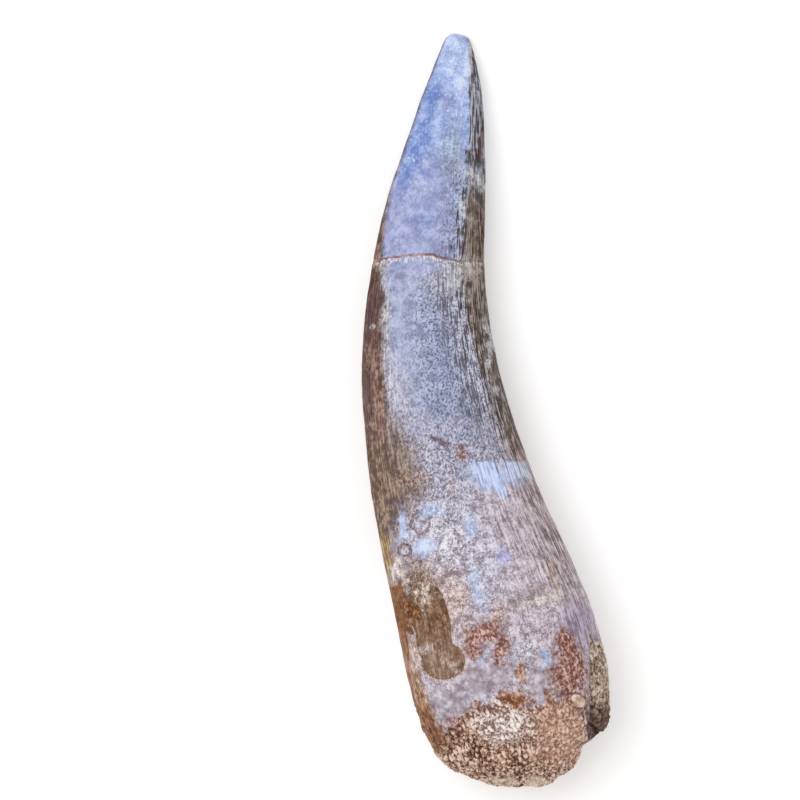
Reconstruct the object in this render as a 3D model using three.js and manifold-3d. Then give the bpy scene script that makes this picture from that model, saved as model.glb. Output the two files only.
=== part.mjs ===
// Fossil plesiosaur tooth: one solid piece, lying on its side as it rests on a table.
// Millimetres, +Z up. The tip points to +Y and the broken root to -Y; the tooth bows towards -X and
// its smooth outer face looks up. The origin is under the middle of its box, on the resting surface.
import * as THREE from "three";
import { ImprovedNoise } from "three/addons/math/ImprovedNoise.js";
import { mergeVertices } from "three/addons/utils/BufferGeometryUtils.js";
import Module from "manifold-3d";

const { clamp, degToRad, radToDeg, smoothstep } = THREE.MathUtils;

// Driving dimensions
const LENGTH = 60.2; // from the worn tip to the end of the root
const TIP_Y = LENGTH / 2;
const THICKNESS_OF_WIDTH = 0.82; // thickness across the bow over width along it
const REST_WEAR = 0.25; // how much of the underside is worn flat where the tooth lies

// The outline from above: distance from the tip, x of the bowed edge, x of the hollow edge.
const OUTLINE = [
  [0, -2.4, -2.4],
  [0.5, -3.2, -1.3],
  [2.1, -3.85, -0.8],
  [5.3, -5.1, -0.25],
  [10.1, -6.75, -0.05],
  [13.3, -7.85, 0],
  [18.1, -8.9, -0.1],
  [22.9, -9.6, 0.3],
  [27.7, -9.85, 1.3],
  [32.5, -9.5, 2.75],
  [37.3, -8.95, 4.65],
  [42.1, -8.1, 6.9],
  [46.9, -7.1, 8.8],
  [51.7, -6.15, 9.85],
  [54.9, -5.2, 9.7],
  [56.2, -4.55, 8.8],
  [56.8, -4.15, 7.8],
  [58.1, -3.35, 7.2],
  [59.1, -1.7, 5.9],
  [59.9, 0.6, 4.9],
  [LENGTH, 2.6, 2.6],
];
const TIP_ROUND = 2.1; // the tip rounds off over this distance
const ROOT_ROUND = 54.9; // the root rounds off from this distance on
const TIP_BLUNT = 1; // ends narrower than this carry no relief

// Facets: three lines of vertices for each ridge
const RIDGES = 32;
const AROUND = RIDGES * 3;
const RINGS = 42;

// Fine ridges run from tip to root on the flanks and the inner side, and fade out on the smooth face.
const RIDGE_HEIGHT = 0.2;
const SMOOTH_FACE = [38, 128]; // degrees around, from the bowed edge over the top
const SMOOTH_FADE = 16;
const RIDGES_FADE = [41, 49]; // distances from the tip

// A mended break crosses the crown as a shallow groove.
const BREAK_AT = 18;
const BREAK_HALF_WIDTH = 0.22;
const BREAK_DEPTH = 0.16;

// A flake is missing from the root's bowed side: a shallow scar with a rounded lower end.
const SCAR_CENTRE = new THREE.Vector2(-4.3, -17.6);
const SCAR_RADII = new THREE.Vector2(2.4, 3.9);
const SCAR_DEPTH = 0.2;

// The root's surface is lumpy where it is broken.
const ROOT_LUMPS = [
  { size: 2.6, height: 0.42 },
  { size: 1.1, height: 0.26 },
];
const ROOT_LUMPS_FADE = [48, 57];

// On the hollow side the root's wall has come away and shows the core as a lower ledge,
// with a crevice between the standing wall and the core.
const LEDGE_WALL_X = 8.25;
const LEDGE_TOP_Y = -18;
const LEDGE_LENGTH = 11;
const LEDGE_HEIGHT = 9.6; // of the ledge against the wall, at its upper end
const LEDGE_SIDE_FALL = 1.5; // it falls away sideways,
const LEDGE_FALL = degToRad(13); // and deepens towards the root's end,
const LEDGE_DEPTH = 1.2; // down to the core's own surface
const LEDGE_REACH = 4;
const CREVICE = [
  [8.3, -22.9],
  [8.0, -26.0],
  [9.0, -25.8],
];
const CREVICE_FLOOR = 5.6;
const ABOVE_TOOTH = 16;

const TOOTH_COLOUR = 0xa39ca6;
const noise = new ImprovedNoise();
const wasm = await Module();
wasm.setup();

const outline = new THREE.CatmullRomCurve3(
  OUTLINE.map(([distance, bowed, hollow]) => new THREE.Vector3(bowed, distance, hollow)),
  false,
  "centripetal",
);

// The section at a distance from the tip: half width, half thickness and the centre between its edges.
const outlineSamples = outline.getSpacedPoints(RINGS * 10);
function sectionAt(distance) {
  const next = Math.max(1, outlineSamples.findIndex((p) => p.y >= distance));
  const [a, b] = [outlineSamples[next - 1], outlineSamples[next]];
  const p = a.clone().lerp(b, (distance - a.y) / (b.y - a.y));
  const halfWidth = (p.z - p.x) / 2;
  return { centre: (p.z + p.x) / 2, halfWidth, halfThickness: halfWidth * THICKNESS_OF_WIDTH };
}

// The axis stays at the height that keeps the underside on the table, and level where the ends round off.
function axisHeight(distance) {
  return sectionAt(clamp(distance, TIP_ROUND, ROOT_ROUND)).halfThickness - REST_WEAR;
}

function ridgeRelief(distance, turn) {
  const degrees = radToDeg(turn);
  const [from, to] = SMOOTH_FACE;
  const offFace =
    degrees < (from + to) / 2
      ? 1 - smoothstep(degrees, from - SMOOTH_FADE, from)
      : smoothstep(degrees, to, to + SMOOTH_FADE);
  const alongFade = 1 - smoothstep(distance, ...RIDGES_FADE);
  return (RIDGE_HEIGHT / 2) * Math.cos(RIDGES * turn) * offFace * alongFade;
}

function breakRelief(distance) {
  return -BREAK_DEPTH * (1 - smoothstep(Math.abs(distance - BREAK_AT), 0, BREAK_HALF_WIDTH));
}

function scarRelief(point, height) {
  if (point.z < height) return 0;
  const away = new THREE.Vector2(point.x, point.y).sub(SCAR_CENTRE).divide(SCAR_RADII).length();
  return -SCAR_DEPTH * (1 - smoothstep(away, 0.75, 1));
}

function lumpRelief(distance, point) {
  const lumps = ROOT_LUMPS.map(
    ({ size, height }) => height * noise.noise(point.x / size, point.y / size, point.z / size),
  );
  return lumps.reduce((sum, lump) => sum + lump, 0) * smoothstep(distance, ...ROOT_LUMPS_FADE);
}

// A point of the tooth's surface, or of the core an inset under it; turn 0 is the bowed edge and a
// quarter turn is the top.
function surfacePoint(distance, turn, inset) {
  const { centre, halfWidth, halfThickness } = sectionAt(distance);
  const height = axisHeight(distance);
  const plain = new THREE.Vector3(
    centre - halfWidth * Math.cos(turn),
    TIP_Y - distance,
    height + halfThickness * Math.sin(turn),
  );
  const relief =
    (ridgeRelief(distance, turn) +
      breakRelief(distance) +
      scarRelief(plain, height) +
      lumpRelief(distance, plain) -
      inset) *
    smoothstep(halfWidth, 0, TIP_BLUNT);
  plain.x -= relief * Math.cos(turn);
  plain.z = Math.max(0, plain.z + relief * Math.sin(turn));
  return plain;
}

function solidFrom(geometry) {
  const bare = geometry.clone();
  bare.deleteAttribute("normal");
  bare.deleteAttribute("uv");
  const merged = mergeVertices(bare, 1e-4);
  return new wasm.Manifold(
    new wasm.Mesh({
      numProp: 3,
      vertProperties: merged.getAttribute("position").array,
      triVerts: new Uint32Array(merged.index.array),
    }),
  );
}

function geometryFrom(solid) {
  const { vertProperties, triVerts } = solid.getMesh();
  const geometry = new THREE.BufferGeometry();
  geometry.setAttribute("position", new THREE.BufferAttribute(vertProperties, 3));
  geometry.setIndex(new THREE.BufferAttribute(triVerts, 1));
  geometry.computeVertexNormals();
  return geometry;
}

// The whole tooth is a ball whose rows are drawn out along the outline, from tip to root.
function toothForm(inset = 0) {
  const breakRings = [-1, 0, 1].map((side) => BREAK_AT + side * BREAK_HALF_WIDTH);
  const distances = outline
    .getSpacedPoints(RINGS)
    .map((p) => p.y)
    .concat(breakRings)
    .sort((a, b) => a - b);
  const ball = new THREE.SphereGeometry(1, AROUND, distances.length - 1);
  const places = ball.getAttribute("position");
  for (let i = 0; i < places.count; i++) {
    const row = Math.floor(i / (AROUND + 1));
    const column = (i % (AROUND + 1)) % AROUND;
    const point = surfacePoint(distances[row], (column / AROUND) * 2 * Math.PI, inset);
    places.setXYZ(i, point.x, point.y, point.z);
  }
  return solidFrom(ball);
}

// What has come away over the ledge: a bar along the root with an upright side at the standing wall,
// down to the core.
function lostWall() {
  const side = new THREE.Shape([
    new THREE.Vector2(0, 0),
    new THREE.Vector2(LEDGE_REACH, -LEDGE_SIDE_FALL * LEDGE_REACH),
    new THREE.Vector2(LEDGE_REACH, ABOVE_TOOTH),
    new THREE.Vector2(0, ABOVE_TOOTH),
  ]);
  const bar = new THREE.ExtrudeGeometry(side, { depth: LEDGE_LENGTH, bevelEnabled: false });
  bar.rotateX(Math.PI / 2 + LEDGE_FALL);
  bar.translate(LEDGE_WALL_X, LEDGE_TOP_Y, LEDGE_HEIGHT);
  return solidFrom(bar).subtract(toothForm(LEDGE_DEPTH));
}

function crevice() {
  const wedge = new THREE.Shape(CREVICE.map(([x, y]) => new THREE.Vector2(x, y)));
  const slot = new THREE.ExtrudeGeometry(wedge, { depth: ABOVE_TOOTH, bevelEnabled: false });
  slot.translate(0, 0, CREVICE_FLOOR);
  return solidFrom(slot);
}

const tooth = new THREE.Mesh(
  geometryFrom(toothForm().subtract(lostWall()).subtract(crevice())),
  new THREE.MeshStandardMaterial({ color: TOOTH_COLOUR, roughness: 0.45, metalness: 0 }),
);
tooth.name = "tooth";

const fossil = new THREE.Group();
fossil.add(tooth);
export default fossil;
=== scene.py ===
"""A fossil marine reptile tooth lying on a pale stage, seen from straight above.

The tooth is one piece. Its plain form is drawn out along its outline from tip to root, its relief is
sculpted along the surface's normals, and its finish is painted by shader nodes from the tip's blue
enamel to the root's sandy grain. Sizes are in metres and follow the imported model's box.
"""

import math
from bisect import bisect_right
from collections import namedtuple

import bmesh
import bpy
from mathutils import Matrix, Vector, noise
from mathutils.geometry import interpolate_bezier


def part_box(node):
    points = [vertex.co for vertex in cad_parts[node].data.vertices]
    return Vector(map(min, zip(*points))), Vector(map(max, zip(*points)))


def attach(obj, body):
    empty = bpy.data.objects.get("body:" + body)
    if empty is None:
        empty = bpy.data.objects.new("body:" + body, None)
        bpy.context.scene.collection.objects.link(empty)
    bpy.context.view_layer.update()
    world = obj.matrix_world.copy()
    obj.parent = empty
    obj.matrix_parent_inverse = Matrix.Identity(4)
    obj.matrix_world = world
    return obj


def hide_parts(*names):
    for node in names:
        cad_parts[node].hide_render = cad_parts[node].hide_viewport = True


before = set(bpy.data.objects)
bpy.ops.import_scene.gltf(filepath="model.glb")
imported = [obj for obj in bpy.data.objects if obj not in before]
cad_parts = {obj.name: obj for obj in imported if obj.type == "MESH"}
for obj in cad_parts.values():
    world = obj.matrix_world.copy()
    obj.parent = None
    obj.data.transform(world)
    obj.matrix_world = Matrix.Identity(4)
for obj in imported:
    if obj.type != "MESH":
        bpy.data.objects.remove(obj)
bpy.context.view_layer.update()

bl_info = {
    "name": "Fossil Tooth",
    "version": (1, 0, 0),
    "blender": (4, 5, 0),
    "location": "View3D > Sidebar > Fossil",
    "description": "Models a fossil marine reptile tooth and sets it on a pale stage",
    "category": "Object",
}

LOW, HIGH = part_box("tooth")

# The outline from above, for a tooth of OUTLINE_LENGTH: distance from the tip, x of the bowed edge and
# x of the hollow edge, in millimetres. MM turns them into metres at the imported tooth's size.
OUTLINE_LENGTH = 60.2
MM = (HIGH.y - LOW.y) / OUTLINE_LENGTH
OUTLINE = (
    (0, -2.5, -2.5),
    (0.06, -2.72, -2.25),
    (0.22, -2.9, -1.72),
    (0.55, -3.22, -1.25),
    (2.1, -3.85, -0.8),
    (5.3, -5.1, -0.25),
    (10.1, -6.75, -0.05),
    (13.3, -7.85, 0),
    (18.1, -8.9, -0.1),
    (22.9, -9.6, 0.3),
    (27.7, -9.85, 1.3),
    (32.5, -9.5, 2.75),
    (37.3, -8.95, 4.65),
    (42.1, -8.1, 6.9),
    (46.9, -7.1, 8.8),
    (51.7, -6.15, 9.85),
    (54.9, -5.2, 9.7),
    (56.2, -4.55, 8.8),
    (56.8, -4.15, 7.8),
    (58.1, -3.35, 7.2),
    (59.1, -1.7, 5.9),
    (59.9, 0.6, 4.9),
    (OUTLINE_LENGTH, 2.6, 2.6),
)
CURVE_STEPS = 24
TIP_ROUND = 2.1 * MM
ROOT_ROUND = 54.9 * MM
TIP_BLUNT = 1.0 * MM

# Mesh: four columns to a ridge, and rings that stand closer together on the root
COLUMNS_PER_RIDGE = 4
RINGS = 282
ROOT_CLOSENESS = 1.2
ROOT_CLOSENESS_FADE = (44 * MM, 50 * MM)

# The smooth outer face, in degrees around from the bowed edge over the top
FACE = (38, 128)
FACE_FADE = 16

# Fine ridges sway sideways, in radians of their own wave, and come and go along the tooth.
RIDGES_FADE = (39 * MM, 50 * MM)
RIDGE_SWAY = 1.5
RIDGE_SWAY_SIZE = 2.4 * MM
RIDGE_SHARPNESS = 1.4
RIDGE_STRENGTH = 0.65
RIDGE_STRENGTH_SPREAD = 0.5
RIDGE_STRENGTH_SIZE = 1.7 * MM
STRENGTH_NOISE_SHIFT = Vector((9, 0, 0))

# A keel beside the hollow flank: near foot, crest and far foot in degrees, and where it starts and ends
KEEL_HEIGHT = 0.16 * MM
KEEL_DEGREES = (112, 126, 136)
KEEL_STARTS = (0.5 * MM, 3 * MM)
KEEL_ENDS = (14 * MM, 22 * MM)

# The mended break arches over the face: how far it drops towards the bowed edge and the hollow flank.
BREAK_DROP_BOWED = 0.64 * MM
BREAK_DROP_HOLLOW = 0.58 * MM
BREAK_HOLLOW_FADE = (-0.1, 0.6)
BREAK_REACH = 4 * MM
BREAK_WANDER = 0.1 * MM
BREAK_WANDER_SIZE = 1.1 * MM
BREAK_HALF_WIDTH = 0.2 * MM
BREAK_FLANK_LOSS = 0.75
LIP_RISE = (0.05 * MM, 0.25 * MM)
LIP_FALL = (0.4 * MM, 2.2 * MM)
LIP_OF_DEPTH = 0.45

# Lumps: the size of each noise and its height
BROAD_LUMPS = ((3.1 * MM, 0.05 * MM), (0.9 * MM, 0.02 * MM))
ROOT_LUMPS = ((2.6 * MM, 0.3 * MM), (1.1 * MM, 0.2 * MM))
ROOT_LUMPS_FADE = (50 * MM, 57 * MM)

# Grains of the broken root lie along the root's own lean.
GRAIN_SIZE = 0.36 * MM
GRAIN_STRETCH = 0.55
GRAIN_GAP = 0.35
GRAIN_STARTS = 45 * MM
ROOT_LEAN = Vector((0.34, -0.94, 0.0))
SANDY_FADE = (52.6 * MM, 54.6 * MM)
SANDY_WANDER = 1.2 * MM
SANDY_WANDER_SIZE = 2.2 * MM
RUST_GRAINS = 0.45
RUST_GRAINS_FADE = (0.7, 1.2)
LEDGE_GRAINS = 0.8

# How a grain's tone is made: the gaps' tone, how much its height adds, and how much grains differ
GAP_TONE = 0.2
GRAIN_TONE = 0.45
GRAIN_TONE_SPREAD = 0.35


def ease(low, high, value):
    """0 below low, 1 above high and a smooth rise between."""
    share = min(max((value - low) / (high - low), 0.0), 1.0)
    return share * share * (3 - 2 * share)


def tint(code):
    """A colour code such as A0B0C0 as linear red, green, blue and alpha."""
    channels = (int(code[i : i + 2], 16) / 255 for i in (0, 2, 4))
    linear = [c / 12.92 if c <= 0.04045 else ((c + 0.055) / 1.055) ** 2.4 for c in channels]
    return (*linear, 1.0)


# An oval on the tooth as seen from above: middle, half width, half length, and lean in degrees. In mm.
Oval = namedtuple("Oval", "x y wide long lean", defaults=(0,))

# A flake is missing from the root's bowed side, with a lobed lower end.
FLAKE = (
    Oval(-4.6, -16.0, 1.55, 3.8, 18),
    Oval(-4.1, -18.4, 1.45, 2.2, 8),
    Oval(-3.4, -19.95, 1.8, 1.5),
)
FLAKE_EDGE = 0.07
FLAKE_RAGGED = 0.05
FLAKE_RAGGED_SIZE = 0.8 * MM

# Two ring scars of settlers on the lower crown
SMALL_RING = Oval(-6.4, -11.2, 0.46, 0.46)
BIG_RING = Oval(-5.15, -9.0, 0.74, 0.8)
RING_DEPTH = 0.06 * MM
RING_BREAKS_SIZE = 0.5 * MM
RING_EDGE = (0.1, 0.3)
RING_REACH = 1.5

# Where the root's wall has come away on the hollow side
WALL_X = 8.25 * MM
LEDGE_TOP = -18.2 * MM
LEDGE_END = -26.6 * MM
LEDGE_EDGE_X = 9.9 * MM
CREVICE_APEX = (8.35 * MM, -22.9 * MM)
CREVICE_FOOT = (9.15 * MM, -25.9 * MM)
WALL_EDGE = 0.1 * MM
WALL_RAGGED = 0.12 * MM
WALL_RAGGED_SIZE = 0.7 * MM
CRUMB_HEIGHT = 0.16 * MM
CRUMB_SIZE = 0.5 * MM

# A pale chip on the wall's edge, and a notch in the root's end
CHIP = Oval(7.42, -23.15, 0.64, 0.4, -40)
CHIP_HEIGHT = 0.24 * MM
CHIP_EDGE = (0.55, 1.1)
END_NOTCH = Vector((2.8 * MM, -30.1 * MM))
NOTCH_DEPTH = 0.35 * MM
NOTCH_EDGE = (0.1 * MM, 0.5 * MM)

# Rust grains above the root: an arch, and a large patch on the hollow side
RUST_ARCH = (
    Oval(-1.0, -18.6, 0.62, 1.5, 12),
    Oval(0.0, -17.7, 1.5, 1.0),
    Oval(1.2, -18.9, 0.62, 1.2, -10),
)
BIG_RUST = (
    Oval(6.4, -18.5, 0.6, 1.4, 8),
    Oval(6.8, -20.0, 1.2, 1.4, 8),
    Oval(6.7, -21.4, 1.6, 1.7, 6),
)


def oval_measure(oval, x, y):
    """0 at the oval's middle and 1 on its rim, for a place in metres."""
    turn = math.radians(oval.lean)
    dx = x - oval.x * MM
    dy = y - oval.y * MM
    across = dx * math.cos(turn) + dy * math.sin(turn)
    along = dy * math.cos(turn) - dx * math.sin(turn)
    return math.hypot(across / (oval.wide * MM), along / (oval.long * MM))


class ToothForm:
    """The tooth's plain form: its outline drawn out to round sections that lie on the floor."""

    def __init__(self, thickness, rest_wear):
        self.thickness = thickness
        self.rest_wear = rest_wear
        knots = [Vector(station) * MM for station in OUTLINE]
        ends = [knots[0], *knots, knots[-1]]
        self.samples = []
        for before, start, end, after in zip(ends, ends[1:], ends[2:], ends[3:]):
            leaving = start + (end - before) / 6
            arriving = end - (after - start) / 6
            self.samples += interpolate_bezier(start, leaving, arriving, end, CURVE_STEPS)[:-1]
        self.samples.append(knots[-1])
        self.distances = [sample.x for sample in self.samples]

    def between(self, keys, key):
        """The outline's sample at a key, where keys rise along the samples."""
        after = min(max(bisect_right(keys, key), 1), len(keys) - 1)
        share = (key - keys[after - 1]) / (keys[after] - keys[after - 1])
        return self.samples[after - 1].lerp(self.samples[after], share)

    def rings(self, count):
        """The outline's samples for rings, even along the outline but closer together on the root."""
        needs = [0.0]
        for a, b in zip(self.samples, self.samples[1:]):
            closeness = 1 + ROOT_CLOSENESS * ease(*ROOT_CLOSENESS_FADE, b.x)
            needs.append(needs[-1] + (b - a).length * closeness)
        return [self.between(needs, needs[-1] * i / count) for i in range(count + 1)]

    def axis_height(self, along):
        """The height that keeps the underside on the floor, level where the ends round off."""
        sample = self.between(self.distances, min(max(along, TIP_ROUND), ROOT_ROUND))
        return (sample.z - sample.y) / 2 * self.thickness - self.rest_wear

    def point(self, ring, turn):
        """A point of the surface; turn 0 is the bowed edge and a quarter turn is the top."""
        along, bowed, hollow = ring
        half = (hollow - bowed) / 2
        x = (hollow + bowed) / 2 - half * math.cos(turn)
        z = self.axis_height(along) + half * self.thickness * math.sin(turn)
        return Vector((x, HIGH.y - along, z))

    def top(self, x, y):
        """The point of the upper surface over a place of the floor."""
        ring = self.between(self.distances, HIGH.y - y)
        half = (ring.z - ring.y) / 2
        across = ((ring.z + ring.y) / 2 - x) / half
        return self.point(ring, math.acos(min(max(across, -1.0), 1.0)))


# A place on the surface: its point, distance from the tip, and turn around the tooth
Place = namedtuple("Place", "point along turn")


def is_upper(place):
    return math.sin(place.turn) > 0


def off_face(place):
    """0 on the smooth outer face and 1 on the flanks and the inner side."""
    degrees = math.degrees(place.turn)
    if degrees < sum(FACE) / 2:
        return 1 - ease(FACE[0] - FACE_FADE, FACE[0], degrees)
    return ease(FACE[1], FACE[1] + FACE_FADE, degrees)


def ridge_relief(place, shape):
    """Fine ridges that wander a little and come and go along the tooth."""
    sway = noise.noise(place.point / RIDGE_SWAY_SIZE) * RIDGE_SWAY
    crest = (0.5 + 0.5 * math.cos(shape.ridges * place.turn + sway)) ** RIDGE_SHARPNESS
    coming = noise.noise(place.point / RIDGE_STRENGTH_SIZE + STRENGTH_NOISE_SHIFT)
    strength = max(RIDGE_STRENGTH + RIDGE_STRENGTH_SPREAD * coming, 0.0)
    fade = 1 - ease(*RIDGES_FADE, place.along)
    return shape.ridge_height * (crest - 0.5) * strength * off_face(place) * fade


def keel_relief(place):
    """A low keel between the smooth face and the hollow flank, from the tip to the mended break."""
    degrees = math.degrees(place.turn)
    near_foot, crest, far_foot = KEEL_DEGREES
    keel = ease(near_foot, crest, degrees) * (1 - ease(crest, far_foot, degrees))
    return KEEL_HEIGHT * keel * ease(*KEEL_STARTS, place.along) * (1 - ease(*KEEL_ENDS, place.along))


def break_relief(place, shape):
    """The mended break: a groove that arches over the face, with a raised lip below it."""
    if abs(place.along - shape.break_distance) > BREAK_REACH:
        return 0.0
    across = -math.cos(place.turn)
    drop = BREAK_DROP_BOWED * min(across, 0.0) ** 2 + BREAK_DROP_HOLLOW * ease(*BREAK_HOLLOW_FADE, across)
    wander = BREAK_WANDER * noise.noise(place.point / BREAK_WANDER_SIZE)
    away = place.along - shape.break_distance - drop - wander
    groove = 1 - ease(0, BREAK_HALF_WIDTH, abs(away))
    lip = ease(*LIP_RISE, away) * (1 - ease(*LIP_FALL, away))
    return shape.break_depth * (LIP_OF_DEPTH * lip - groove) * (1 - BREAK_FLANK_LOSS * off_face(place))


def flake_relief(place, shape):
    """The scar of the lost flake, with a crisp edge."""
    if not is_upper(place):
        return 0.0
    ragged = FLAKE_RAGGED * noise.noise(place.point / FLAKE_RAGGED_SIZE)
    inside = min(oval_measure(oval, place.point.x, place.point.y) for oval in FLAKE) + ragged
    return -shape.flake_depth * (1 - ease(1 - FLAKE_EDGE, 1, inside))


def ring_relief(place):
    """Two ring scars: narrow grooves, broken in places."""
    if not is_upper(place):
        return 0.0
    height = 0.0
    for oval in (SMALL_RING, BIG_RING):
        away = oval_measure(oval, place.point.x, place.point.y)
        if away < RING_REACH:
            broken = 0.6 + 0.6 * noise.noise(place.point / RING_BREAKS_SIZE)
            height -= RING_DEPTH * broken * (1 - ease(*RING_EDGE, abs(away - 1)))
    return height


def lump_relief(place):
    """Broad lumps over the whole tooth, and the broken root's own lumps."""
    broad = sum(height * noise.noise(place.point / size) for size, height in BROAD_LUMPS)
    root = sum(height * noise.noise(place.point / size) for size, height in ROOT_LUMPS)
    return broad + root * ease(*ROOT_LUMPS_FADE, place.along)


def grain(place):
    """A grain's height, from 0 in the gaps to 1 on its top, and the grain's own tone."""
    if place.along < GRAIN_STARTS:
        return 0.5, 0.5
    lengthwise = ROOT_LEAN * place.point.dot(ROOT_LEAN)
    stretched = (place.point - lengthwise * (1 - GRAIN_STRETCH)) / GRAIN_SIZE
    distances, middles = noise.voronoi(stretched)
    return ease(0.0, GRAIN_GAP, distances[1] - distances[0]), 0.5 + 0.5 * noise.cell(middles[0] * 5)


def grain_share(place):
    """1 where the surface is broken to grains and 0 where it is whole."""
    if place.along < GRAIN_STARTS:
        return 0.0
    x, y, _ = place.point
    wander = SANDY_WANDER * noise.noise(place.point / SANDY_WANDER_SIZE)
    sandy = ease(*SANDY_FADE, place.along + wander)
    if not is_upper(place):
        return sandy
    away = min(oval_measure(oval, x, y) for oval in (*RUST_ARCH, *BIG_RUST))
    rusty = 1 - ease(*RUST_GRAINS_FADE, away)
    ledge = ease(WALL_X, WALL_X + 2 * WALL_EDGE, x) * ease(LEDGE_TOP + 0.5 * MM, LEDGE_TOP, y)
    return max(sandy, RUST_GRAINS * rusty, LEDGE_GRAINS * ledge)


def ledge_relief(place, shape):
    """The ledge beside the standing wall, and the crevice between them."""
    x, y, _ = place.point
    if not is_upper(place) or not LEDGE_END - MM < y < LEDGE_TOP:
        return 0.0
    ragged = WALL_RAGGED * noise.noise(place.point / WALL_RAGGED_SIZE)
    beyond = ease(WALL_X - WALL_EDGE, WALL_X + WALL_EDGE, x + ragged)
    deeper = ease(LEDGE_TOP, LEDGE_END, y)
    outwards = 1 - ease(WALL_X, LEDGE_EDGE_X, x)
    crumbs = CRUMB_HEIGHT * noise.noise(place.point / CRUMB_SIZE)
    ledge = beyond * (shape.ledge_depth * deeper * outwards + crumbs)
    (apex_x, apex_y), (foot_x, foot_y) = CREVICE_APEX, CREVICE_FOOT
    down = ease(apex_y, foot_y, y)
    mouth = apex_x + (foot_x - apex_x) * down
    gap = beyond * (1 - ease(mouth - WALL_EDGE, mouth + 1.5 * WALL_EDGE, x + ragged)) * ease(0, 0.2, down)
    closed = ease(LEDGE_END - 2 * WALL_EDGE, LEDGE_END + 3 * WALL_EDGE, y)
    return -ledge - shape.crevice_depth * gap * closed


def chip_relief(place):
    """A pale chip that stands on the wall's edge."""
    if not is_upper(place):
        return 0.0
    away = oval_measure(CHIP, place.point.x, place.point.y)
    return CHIP_HEIGHT * (1 - ease(*CHIP_EDGE, away))


def notch_relief(place):
    """A small notch in the root's end."""
    away = (Vector(place.point[:2]) - END_NOTCH).length
    return -NOTCH_DEPTH * (1 - ease(*NOTCH_EDGE, away))


def relief(place, shape, grain_height):
    """How far the surface stands out from the plain form at a place."""
    return (
        ridge_relief(place, shape)
        + keel_relief(place)
        + break_relief(place, shape)
        + flake_relief(place, shape)
        + ring_relief(place)
        + lump_relief(place)
        + shape.grain_height * grain_share(place) * (grain_height - 0.5)
        + ledge_relief(place, shape)
        + chip_relief(place)
        + notch_relief(place)
    )


def tooth_mesh(form, shape):
    """The tooth's mesh: a ball drawn out along the outline, with its relief sculpted on."""
    bm = bmesh.new()
    columns = shape.ridges * COLUMNS_PER_RIDGE
    bmesh.ops.create_uvsphere(bm, u_segments=columns, v_segments=RINGS, radius=1)
    flow = bm.verts.layers.float_vector.new("flow")
    grains = bm.verts.layers.float.new("grain")
    rings = form.rings(RINGS)
    places = []
    for vert in bm.verts:
        ring = rings[round(math.acos(min(max(vert.co.z, -1.0), 1.0)) / math.pi * RINGS)]
        turn = math.atan2(vert.co.y, vert.co.x) % math.tau
        vert.co = form.point(ring, turn)
        vert[flow] = Vector((-math.cos(turn), math.sin(turn), ring.x))
        places.append((vert, Place(vert.co.copy(), ring.x, turn), (ring.z - ring.y) / 2))
    bm.normal_update()
    bmesh.ops.recalc_face_normals(bm, faces=bm.faces)
    bm.normal_update()
    normals = [vert.normal.copy() for vert in bm.verts]
    for (vert, place, half), normal in zip(places, normals):
        height, tone = grain(place)
        vert.co += normal * relief(place, shape, height) * ease(0, TIP_BLUNT, half)
        vert[grains] = GAP_TONE + height * (GRAIN_TONE + GRAIN_TONE_SPREAD * (tone - 0.5))
        vert.co.z = max(vert.co.z, 0.0)
    bm.normal_update()
    mesh = bpy.data.meshes.new("fossil_tooth")
    bm.to_mesh(mesh)
    bm.free()
    mesh.shade_smooth()
    return mesh


class Value:
    """A shader socket that takes part in Python sums; | is the greater of two and & the lesser."""

    def __init__(self, finish, socket):
        self.finish = finish
        self.socket = socket

    def sum(self, operation, first, second):
        return self.finish.node("ShaderNodeMath", {"operation": operation}, {0: first, 1: second})

    def __add__(self, other):
        return self.sum("ADD", self, other)

    def __sub__(self, other):
        return self.sum("SUBTRACT", self, other)

    def __rsub__(self, other):
        return self.sum("SUBTRACT", other, self)

    def __mul__(self, other):
        return self.sum("MULTIPLY", self, other)

    def __or__(self, other):
        return self.sum("MAXIMUM", self, other)

    def __and__(self, other):
        return self.sum("MINIMUM", self, other)

    __radd__ = __add__
    __rmul__ = __mul__
    __ror__ = __or__
    __rand__ = __and__


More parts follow.
